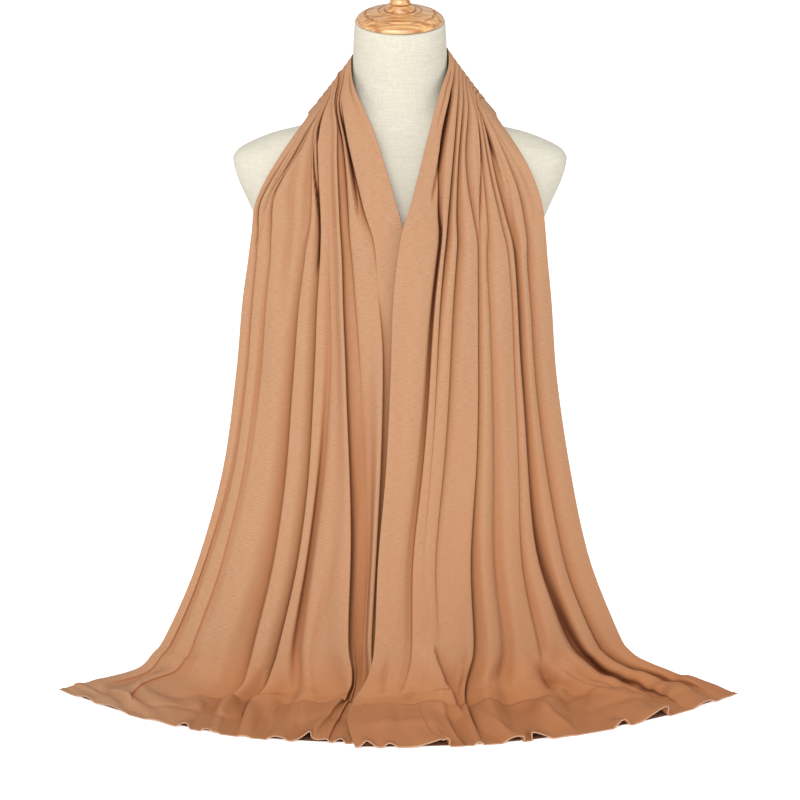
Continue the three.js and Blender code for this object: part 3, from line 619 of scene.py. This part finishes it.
def cloth_grid(stretch, t, side, seed):
    """Points of the cloth's middle, row by row, and the share of the light that the folds keep from
    each point, for painted shade.
    """
    control = spline(fold_points(stretch, t), SPAN_STEPS)
    q, depth = control[..., 0], control[..., 1]
    row = through(stretch["places"], stretch["rows"], t)
    width = np.linalg.norm(row[:, 3:6] - row[:, 0:3], axis=1)
    at = t[:, None] + 0 * q
    if side:
        level = np.linalg.norm(front(stretch, q, np.minimum(t + LEVEL_REACH, t[-1]))
                               - front(stretch, q, t - LEVEL_REACH), axis=-1) / (2 * LEVEL_REACH)
        extra = (pressed(CREASES[side] + HOLLOWS[side], at, q, width[:, None])
                 + pressed(BREAKS[side], q, at, level) + swells(seed, q, t, width))
        to_hem = np.cumsum((level[::-1] * np.gradient(t)[:, None]), axis=0)[::-1]
        depth = depth + smoothstep(t, 0, CREASE_START)[:, None] * extra
        painted_shade = covered(q, width, depth)
        lift, lean = curled(CURLS[side], q, width, to_hem - to_hem[-1])
        depth = depth - lift
        q = q + lean / width[:, None]
        landing = through(*LANDING[side], np.clip(q, 0, 1))
        starts, whole, fades, ends = LANDING_SPAN
        at = at + landing * smoothstep(at, starts, whole) * (1 - smoothstep(at, fades, ends))
    else:
        depth = depth + BAND_SWELL * loosened(t)[:, None] * swells(seed, q, t, width)
        painted_shade = covered(q, width, depth)
    inward = inward_at(stretch, q, at)
    points = off_torso(front(stretch, q, at) + inward * depth[..., None])
    points[..., 2] = np.maximum(points[..., 2], (JERSEY_WALL / 2 + FLOOR_GAP) / MM)
    return points * MM, painted_shade


def grid_normals(points, side):
    """Unit directions towards the back of the cloth from the grid itself."""
    across = np.gradient(points, axis=1)
    along = np.gradient(points, axis=0)
    inward = unit(np.cross(across, along)) * side
    flat = points[..., 2] < LYING_FLAT
    inward[flat] = (0, 0, -1)
    return inward


def new_piece(name, verts, faces, uv=None, normals=None, smooth=True):
    mesh = bpy.data.meshes.new(name)
    mesh.from_pydata([tuple(v) for v in verts], [], faces)
    mesh.polygons.foreach_set("use_smooth", [smooth] * len(mesh.polygons))
    if uv is not None:
        layer = mesh.uv_layers.new(name="cloth")
        corners = np.zeros(len(mesh.loops), int)
        mesh.loops.foreach_get("vertex_index", corners)
        layer.data.foreach_set("uv", np.asarray(uv, float)[corners].ravel())
    if normals is not None:
        mesh.normals_split_custom_set_from_vertices([tuple(n) for n in normals])
    piece = bpy.data.objects.new(name, mesh)
    bpy.context.collection.objects.link(piece)
    return piece


def grid_faces(rows, cols, offset=0, turned=False, closed=False):
    """Quads of a grid of vertices, row by row."""
    last = cols if closed else cols - 1
    faces = []
    for i in range(rows - 1):
        for j in range(last):
            a, b = offset + i * cols + j, offset + i * cols + (j + 1) % cols
            c, d = b + cols, a + cols
            faces.append((a, b, c, d) if turned else (a, d, c, b))
    return faces


def sheet_piece(name, points, inward, depth, side):
    """A closed thin sheet: the grid moved out by half the wall on both sides. Its fold attribute
    holds depth, which here is the share of the light kept off each point, painted as shade by the
    jersey.
    """
    rows, cols = points.shape[:2]
    half = JERSEY_WALL / 2
    verts = np.concatenate([(points - half * inward).reshape(-1, 3),
                            (points + half * inward).reshape(-1, 3)])
    normals = np.concatenate([-inward.reshape(-1, 3), inward.reshape(-1, 3)])
    count = rows * cols
    mirrored = side > 0
    faces = grid_faces(rows, cols, 0, not mirrored) + grid_faces(rows, cols, count, mirrored)

    def rim(line):
        for a, b in zip(line, line[1:]):
            quad = (a, b, b + count, a + count)
            faces.append(quad if mirrored else quad[::-1])

    rim([i * cols for i in range(rows)][::-1])
    rim([i * cols + cols - 1 for i in range(rows)])
    rim(list(range(cols)))
    rim([(rows - 1) * cols + j for j in range(cols)][::-1])
    across = np.linalg.norm(np.diff(points, axis=1), axis=2)
    down = np.linalg.norm(np.diff(points, axis=0), axis=2).mean(axis=1)
    u = np.concatenate([np.zeros((rows, 1)), np.cumsum(across, axis=1)], axis=1)
    v = np.repeat(np.concatenate([[0], np.cumsum(down)])[:, None], cols, axis=1)
    uv = np.tile(np.stack([u, v], axis=-1).reshape(-1, 2), (2, 1))
    piece = new_piece(name, verts, faces, uv, normals)
    # Painted shade: the fold attribute is the share of light kept off each point, not a fold depth.
    fold = piece.data.attributes.new("fold", "FLOAT", "POINT")
    fold.data.foreach_set("value", np.tile(depth.ravel(), 2))
    return piece


def cord_piece(name, path, inward, thick):
    """An overlocked edge: a fine cord of stitches along a line of the cloth."""
    length = np.concatenate([[0], np.cumsum(np.linalg.norm(np.diff(path, axis=0), axis=1))])
    steps = int(length[-1] / CORD_STEP)
    at = np.linspace(0, length[-1], steps)
    line = np.stack([np.interp(at, length, path[:, c]) for c in range(3)], axis=1)
    normal = unit(np.stack([np.interp(at, length, inward[:, c]) for c in range(3)], axis=1))
    tangent = unit(np.gradient(line, axis=0))
    beside = unit(np.cross(tangent, normal))
    angle = 2 * math.pi * np.arange(CORD_SIDES) / CORD_SIDES
    stitch = 1 + STITCH_BULGE * np.cos(math.pi * np.arange(steps))[:, None] * np.cos(angle)[None, :]
    radius = thick * stitch
    ring = (line[:, None] + (radius * np.cos(angle))[..., None] * beside[:, None] * CORD_WIDTH
            + (radius * np.sin(angle))[..., None] * normal[:, None])
    ring[..., 2] = np.maximum(ring[..., 2], CORD_FLOOR)
    verts = list(ring.reshape(-1, 3)) + [line[0], line[-1]]
    faces = grid_faces(steps, CORD_SIDES, 0, False, True)
    ends = steps * CORD_SIDES
    last = (steps - 1) * CORD_SIDES
    for k in range(CORD_SIDES):
        following = (k + 1) % CORD_SIDES
        faces.append((ends, k, following))
        faces.append((ends + 1, last + following, last + k))
    uv = np.stack([np.repeat(at, CORD_SIDES), np.tile(angle * thick, steps)], axis=1)
    uv = np.concatenate([uv, [[0, 0], [at[-1], 0]]])
    return new_piece(name, verts, faces, uv)


def torso_piece():
    """Rings through the levels of TORSO, closed at the underside and at the rim."""
    order = np.arange(len(TORSO))
    t = np.linspace(0, len(TORSO) - 1, (len(TORSO) - 1) * RING_STEPS + 1)
    height, width, ahead, behind, square, tilt = through(order, TORSO, t).T[..., None]
    angle = 2 * math.pi * np.arange(TORSO_COLUMNS) / TORSO_COLUMNS
    c, s = np.cos(angle)[None, :], np.sin(angle)[None, :]
    x = width * np.sign(c) * np.abs(c) ** (2 / square)
    y = (ahead + behind) / 2 * np.sign(s) * np.abs(s) ** (2 / square)
    z = height + y * np.tan(NECK_TILT * tilt)
    ring = np.stack([x, (behind - ahead) / 2 + y, z], axis=-1) * MM
    rows = len(t)
    verts = list(ring.reshape(-1, 3)) + [ring[0].mean(axis=0), ring[-1].mean(axis=0)]
    faces = grid_faces(rows, TORSO_COLUMNS, 0, True, True)
    low, high = rows * TORSO_COLUMNS, rows * TORSO_COLUMNS + 1
    for k in range(TORSO_COLUMNS):
        following = (k + 1) % TORSO_COLUMNS
        faces.append((low, following, k))
        faces.append((high, high - 1 - TORSO_COLUMNS + k, high - 1 - TORSO_COLUMNS + following))
    return new_piece("torso_linen", verts, faces)


def rounded(profile):
    """The profile with its corners cut, ends kept."""
    points = np.asarray(profile, float)
    keep, cut_off = 1 - CORNER_CUT, CORNER_CUT
    for _ in range(CORNER_PASSES):
        a, b = points[:-1], points[1:]
        cut = np.stack([keep * a + cut_off * b, cut_off * a + keep * b], axis=1).reshape(-1, 2)
        points = np.concatenate([points[:1], cut, points[-1:]])
    return points


def turned_piece(name, profile):
    """A turned piece: its profile spun round the neck's leaning axis."""
    points = rounded(profile)[1:-1]
    points[0, 0] = points[-1, 0] = 0
    angle = 2 * math.pi * np.arange(WOOD_COLUMNS) / WOOD_COLUMNS
    r, h = points[1:-1, 0][:, None], points[1:-1, 1][:, None]
    ring = np.stack([r * np.cos(angle), r * np.sin(angle), h + 0 * angle], axis=-1)
    verts = np.concatenate([ring.reshape(-1, 3), [[0, 0, points[0, 1]], [0, 0, points[-1, 1]]]])
    lean = np.array([[1, 0, 0], [0, math.cos(NECK_TILT), -math.sin(NECK_TILT)],
                     [0, math.sin(NECK_TILT), math.cos(NECK_TILT)]])
    verts = (verts @ lean.T + [0, -NECK_RIM_MIDDLE, NECK_RIM_HEIGHT]) * MM
    rows = len(ring)
    faces = grid_faces(rows, WOOD_COLUMNS, 0, True, True)
    low = rows * WOOD_COLUMNS
    for k in range(WOOD_COLUMNS):
        following = (k + 1) % WOOD_COLUMNS
        faces.append((low, following, k))
        faces.append((low + 1, low - WOOD_COLUMNS + k, low - WOOD_COLUMNS + following))
    return new_piece(name, verts, faces)


def material(name, colour, roughness, **sockets):
    made = bpy.data.materials.new(name)
    made.use_nodes = True
    shader = made.node_tree.nodes["Principled BSDF"]
    shader.inputs["Base Color"].default_value = (*colour, 1)
    shader.inputs["Roughness"].default_value = roughness
    for socket, value in sockets.items():
        shader.inputs[socket.replace("_", " ")].default_value = value
    return made, made.node_tree, shader


def node(tree, kind, **values):
    made = tree.nodes.new(kind)
    for key, value in values.items():
        if hasattr(made, key):
            setattr(made, key, value)
        else:
            made.inputs[key.replace("_", " ")].default_value = value
    return made


def mixed(tree, factor, first, second, blend="MIX"):
    """A colour mix: each input is a socket or a colour."""
    made = tree.nodes.new("ShaderNodeMix")
    made.data_type, made.blend_type = "RGBA", blend
    for socket, value in ((made.inputs[0], factor), (made.inputs[6], first),
                          (made.inputs[7], second)):
        if isinstance(value, bpy.types.NodeSocket):
            tree.links.new(value, socket)
        else:
            socket.default_value = value if isinstance(value, float) else (*value, 1)
    return made.outputs[2]


def ranged(tree, socket, lo, hi, to_lo, to_hi):
    made = tree.nodes.new("ShaderNodeMapRange")
    for k, value in enumerate((lo, hi, to_lo, to_hi), start=1):
        made.inputs[k].default_value = value
    tree.links.new(socket, made.inputs[0])
    return made.outputs[0]


def stretched(tree, coordinates, scale):
    made = tree.nodes.new("ShaderNodeMapping")
    made.inputs["Scale"].default_value = scale
    tree.links.new(coordinates, made.inputs["Vector"])
    return made.outputs[0]


def noise(tree, vector, scale, detail=3.0):
    made = node(tree, "ShaderNodeTexNoise", Scale=scale, Detail=detail)
    tree.links.new(vector, made.inputs["Vector"])
    return made.outputs["Fac"]


def bands(tree, vector, pitch, direction, distortion=0.0):
    """Waves of the given pitch in metres."""
    made = node(tree, "ShaderNodeTexWave", bands_direction=direction,
                Scale=0.314 / pitch, Distortion=distortion)
    tree.links.new(vector, made.inputs["Vector"])
    return made.outputs["Fac"]


def bump(tree, shader, height, strength, distance):
    made = node(tree, "ShaderNodeBump", Strength=strength, Distance=distance)
    tree.links.new(height, made.inputs["Height"])
    tree.links.new(made.outputs[0], shader.inputs["Normal"])


def added(tree, first, second, weight):
    made = tree.nodes.new("ShaderNodeMath")
    made.operation = "MULTIPLY_ADD"
    made.inputs[1].default_value = weight
    tree.links.new(second, made.inputs[0])
    tree.links.new(first, made.inputs[2])
    return made.outputs[0]


def product(tree, first, second):
    made = tree.nodes.new("ShaderNodeMath")
    made.operation = "MULTIPLY"
    tree.links.new(first, made.inputs[0])
    tree.links.new(second, made.inputs[1])
    return made.outputs[0]


def jersey_material():
    """Fine cotton jersey: slubbed courses across the cloth, with painted shade that makes it redder
    and darker in its folds, towards the bottom and where it lies on the surface."""
    made, tree, shader = material("jersey", (0.47, 0.26, 0.14), 0.9, Sheen_Weight=0.02,
                                  Sheen_Roughness=0.5, Specular_IOR_Level=0.05)
    uv = node(tree, "ShaderNodeUVMap", uv_map="cloth").outputs[0]
    place = node(tree, "ShaderNodeTexCoord").outputs["Object"]
    axes = node(tree, "ShaderNodeSeparateXYZ")
    tree.links.new(place, axes.inputs[0])
    slubs = noise(tree, stretched(tree, uv, (130, 1500, 1)), 1.0)
    patches = noise(tree, uv, 26.0, 2.0)
    body = mixed(tree, ranged(tree, slubs, 0.34, 0.66, 0, 1), *JERSEY)
    body = mixed(tree, ranged(tree, patches, 0.3, 0.7, 0, 0.3), body, JERSEY_PATCH)
    # Painted shade: darker and redder from half a metre down, more on the right, and most where the
    # cloth lies on the surface, except at the far left.
    low = product(tree, ranged(tree, axes.outputs[2], 0.5, 0.1, 0, 0.5),
                  ranged(tree, axes.outputs[0], -0.15, 0.12, 0.2, 1))
    body = mixed(tree, low, body, JERSEY_LOW_SHADE)
    lying_shade = product(tree, ranged(tree, axes.outputs[2], 0.06, 0.01, 0, 0.7),
                    ranged(tree, axes.outputs[0], -0.32, -0.18, 0, 1))
    body = mixed(tree, lying_shade, body, JERSEY_LYING_SHADE)
    # Painted shade: redder, then near black, where neighbouring cloth keeps the light off.
    painted_shade = node(tree, "ShaderNodeAttribute", attribute_name="fold").outputs["Fac"]
    body = mixed(tree, ranged(tree, painted_shade, 0.12, 0.42, 0, 0.75), body, JERSEY_SHADE)
    body = mixed(tree, ranged(tree, painted_shade, 0.42, 0.66, 0, 0.9), body, JERSEY_DEEP_SHADE)
    tree.links.new(body, shader.inputs["Base Color"])
    courses = bands(tree, uv, 0.9 * MM, "Y", 0.6)
    wales = bands(tree, uv, 1.1 * MM, "X", 0.4)
    height = added(tree, added(tree, slubs, courses, 0.35), wales, 0.3)
    bump(tree, shader, height, 0.4, 0.6 * MM)
    return made


def overlock_material(name, dark, light):
    """The sewing thread of an edge."""
    made, tree, shader = material(name, light, 0.8, Specular_IOR_Level=0.18)
    uv = node(tree, "ShaderNodeUVMap", uv_map="cloth").outputs[0]
    stitches = bands(tree, uv, 1.6 * MM, "DIAGONAL")
    body = mixed(tree, stitches, dark, light)
    tree.links.new(body, shader.inputs["Base Color"])
    bump(tree, shader, stitches, 0.6, 0.4 * MM)
    return made


def linen_material():
    """Ecru linen: a plain weave of uneven threads."""
    made, tree, shader = material("linen", (0.72, 0.67, 0.55), 0.92, Specular_IOR_Level=0.2)
    place = node(tree, "ShaderNodeTexCoord").outputs["Object"]
    weft = noise(tree, stretched(tree, place, (60, 60, 900)), 1.0)
    warp = noise(tree, stretched(tree, place, (900, 900, 60)), 1.0)
    threads = added(tree, weft, warp, 1.0)
    body = mixed(tree, ranged(tree, threads, 0.7, 1.3, 0, 1), *LINEN)
    body = mixed(tree, ranged(tree, noise(tree, place, 18.0, 3.0), 0.35, 0.7, 0, 0.2), body,
                 LINEN_PATCH)
    tree.links.new(body, shader.inputs["Base Color"])
    bump(tree, shader, threads, 0.4, 0.5 * MM)
    return made


def wood_material():
    """Honey-coloured turned wood under varnish."""
    made, tree, shader = material("wood", (0.66, 0.33, 0.11), 0.36, Coat_Weight=0.8,
                                  Coat_Roughness=0.08)
    place = node(tree, "ShaderNodeTexCoord").outputs["Object"]
    grain = noise(tree, stretched(tree, place, (24, 240, 240)), 1.0, 5.0)
    body = mixed(tree, ranged(tree, grain, 0.38, 0.64, 0, 1), WOOD_LIGHT, WOOD_DARK)
    tree.links.new(body, shader.inputs["Base Color"])
    tree.links.new(ranged(tree, grain, 0.3, 0.7, 0.36, 0.5), shader.inputs["Roughness"])
    bump(tree, shader, grain, 0.06, 0.3 * MM)
    return made


def add_studio(shadow_line):
    """Floor, sky and key light. The floor glows, but not under the cloth: inside shadow_line lies a
    dark brown patch of painted shade.
    """
    floor = new_piece("floor", [(-FLOOR_SIZE, -FLOOR_SIZE, 0), (FLOOR_SIZE, -FLOOR_SIZE, 0),
                                (FLOOR_SIZE, FLOOR_SIZE, 0), (-FLOOR_SIZE, FLOOR_SIZE, 0)],
                      [(0, 1, 2, 3)], smooth=False)
    made, _, _ = material("floor", FLOOR, 0.9, Specular_IOR_Level=0.1,
                          Emission_Color=(1, 1, 1, 1), Emission_Strength=FLOOR_GLOW)
    floor.data.materials.append(made)
    count = len(shadow_line)
    # A dark brown patch of painted shade on the floor under the cloth, over the glowing floor.
    near = new_piece("floor_shade_patch", [(x, y, SHADE_PATCH_HEIGHT) for x, y in shadow_line],
                     [tuple(range(count))], smooth=False)
    near.data.materials.append(material("floor_shade_patch", FLOOR_SHADE, 0.9)[0])
    world = bpy.data.worlds.new("studio")
    world.use_nodes = True
    sky = world.node_tree.nodes["Background"]
    sky.inputs["Color"].default_value = (1, 1, 1, 1)
    seen = world.node_tree.nodes.new("ShaderNodeLightPath").outputs["Is Camera Ray"]
    strength = ranged(world.node_tree, seen, 0, 1, SKY, 1)
    world.node_tree.links.new(strength, sky.inputs["Strength"])
    bpy.context.scene.world = world
    bpy.context.scene.view_settings.view_transform = "Standard"
    key = bpy.data.lights.new("key", "SUN")
    key.energy, key.angle = KEY, math.radians(KEY_SPREAD)
    lamp = bpy.data.objects.new("key", key)
    lamp.rotation_euler = (math.radians(90 - KEY_ELEVATION), 0, math.radians(KEY_AZIMUTH))
    bpy.context.collection.objects.link(lamp)


def dress(piece, made, slot, *nodes):
    piece.data.materials.append(made)
    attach(piece, "root")
    if nodes:
        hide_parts(*nodes)


add_camera()
jersey = jersey_material()
overlock = overlock_material("overlock", *OVERLOCK)
selvedge = overlock_material("selvedge", *SELVEDGE)

landed, hem_level = LEVELS.index("ankle"), LEVELS.index("hem")
end_rows = np.concatenate([[-0.1], np.linspace(0, landed, landed * LEVEL_STEPS + 1)[:-1],
                           np.linspace(landed, hem_level, (hem_level - landed) * FLOOR_STEPS + 1)])
band_rows = np.arange(NAPE_STEPS - 1, 5 * NAPE_STEPS + 2) / NAPE_STEPS
hems = []
for name, stretch, t, side in (
    ("left", scarf_end(LEFT_ROWS, NAPE_ROWS[0], LEFT_FOLDS, LEFT_TUCK, -1),
     end_rows, "left"),
    ("right", scarf_end(RIGHT_ROWS, NAPE_ROWS[2], RIGHT_FOLDS, RIGHT_TUCK, 1),
     end_rows, "right"),
    ("neck", neck_band(), band_rows, ""),
):
    # depth here is the share of the light that the folds keep off each point, for painted shade.
    points, depth = cloth_grid(stretch, t, side, SEEDS[name])
    inward = grid_normals(points, stretch["side"])
    # The first row, and the band's last, only steer the directions where two sheets meet.
    keep = slice(1, None) if side else slice(1, -1)
    points, inward, depth = points[keep], inward[keep], depth[keep]
    if side:
        # The hem's outline, moved back, bounds the floor's patch of painted shade.
        hems.append(points[-1, ::SHADE_PATCH_STRIDE, :2] + (0, SHADE_PATCH_INSET))
    cad_node = "scarf_neck_band" if name == "neck" else f"scarf_{name}_end"
    sheet = sheet_piece(f"jersey_{name}", points, inward, depth, stretch["side"])
    dress(sheet, jersey, "jersey", cad_node)
    lines = {"inner": (points[:, 0], inward[:, 0]), "outer": (points[:, -1], inward[:, -1])}
    if side:
        lines["hem"] = (points[-1], inward[-1])
    for edge, (path, directions) in lines.items():
        hem = edge == "hem"
        cord = cord_piece(f"overlock_{name}_{edge}", path, directions,
                          HEM_RADIUS if hem else SELVEDGE_RADIUS)
        dress(cord, overlock if hem else selvedge, "jersey")

dress(torso_piece(), linen_material(), "linen", "form_torso")
wood = wood_material()
dress(turned_piece("cap_wood", CAP_PROFILE), wood, "wood", "neck_cap")
dress(turned_piece("finial_wood", FINIAL_PROFILE), wood, "wood", "finial")
left_hem, right_hem = hems
add_studio([*left_hem[left_hem[:, 0] < right_hem[0, 0]][::-1], *right_hem])
